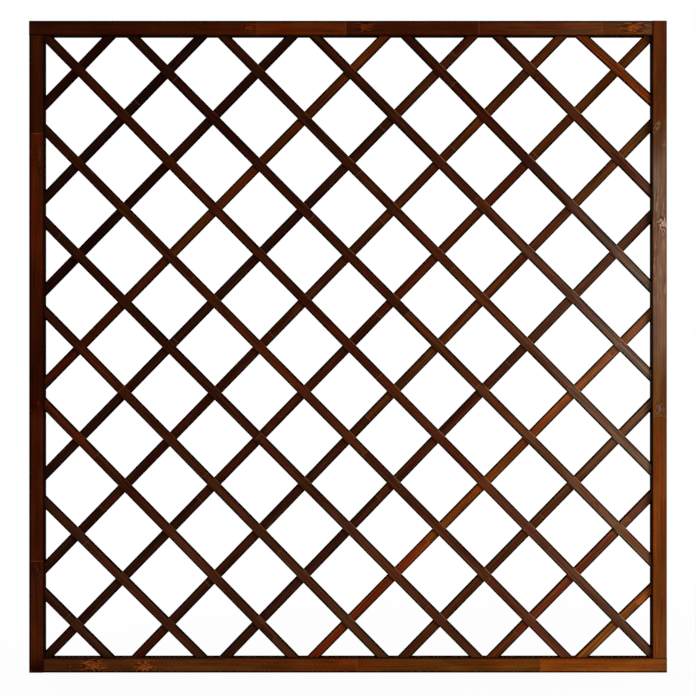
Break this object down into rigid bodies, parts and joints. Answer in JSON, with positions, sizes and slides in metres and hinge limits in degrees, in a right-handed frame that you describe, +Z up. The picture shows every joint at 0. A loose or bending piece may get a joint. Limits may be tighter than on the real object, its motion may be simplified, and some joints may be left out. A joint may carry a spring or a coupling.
{
  "type": "trellis panel",
  "caption": "Framed diamond trellis panel: crossed timber laths, stapled where they cross, held in a grooved square timber frame with butted corners; stands between posts to carry climbers.",
  "frame": {"origin": "middle of the panel's bottom edge, halfway through its thickness", "axes": "+X along the width, to the right seen from the front; +Y from the front face to the back face, so the front looks along -Y; +Z up"},
  "size_m": [1.8, 0.042, 1.84],
  "materials": {
    "frame_timber": "dark red-brown satin stain, weathered paler along the right stile",
    "lath_timber": "dark red-brown satin stain, edges darker",
    "staple_wire": "galvanised wire, dull",
    "screw_steel": "yellow zinc plate"
  },
  "bodies": {
    "root": {"bottom_rail": "frame_timber", "left_stile": "frame_timber", "top_rail": "frame_timber", "right_stile": "frame_timber", "front_lath_01": "lath_timber", "front_lath_02": "lath_timber", "front_lath_03": "lath_timber", "front_lath_04": "lath_timber", "front_lath_05": "lath_timber", "front_lath_06": "lath_timber", "front_lath_07": "lath_timber", "front_lath_08": "lath_timber", "front_lath_09": "lath_timber", "front_lath_10": "lath_timber", "front_lath_11": "lath_timber", "front_lath_12": "lath_timber", "front_lath_13": "lath_timber", "rear_lath_01": "lath_timber", "rear_lath_02": "lath_timber", "rear_lath_03": "lath_timber", "rear_lath_04": "lath_timber", "rear_lath_05": "lath_timber", "rear_lath_06": "lath_timber", "rear_lath_07": "lath_timber", "rear_lath_08": "lath_timber", "rear_lath_09": "lath_timber", "rear_lath_10": "lath_timber", "rear_lath_11": "lath_timber", "rear_lath_12": "lath_timber", "rear_lath_13": "lath_timber", "crossing_staples": "staple_wire", "corner_screws": "screw_steel"}
  },
  "joints": []
}
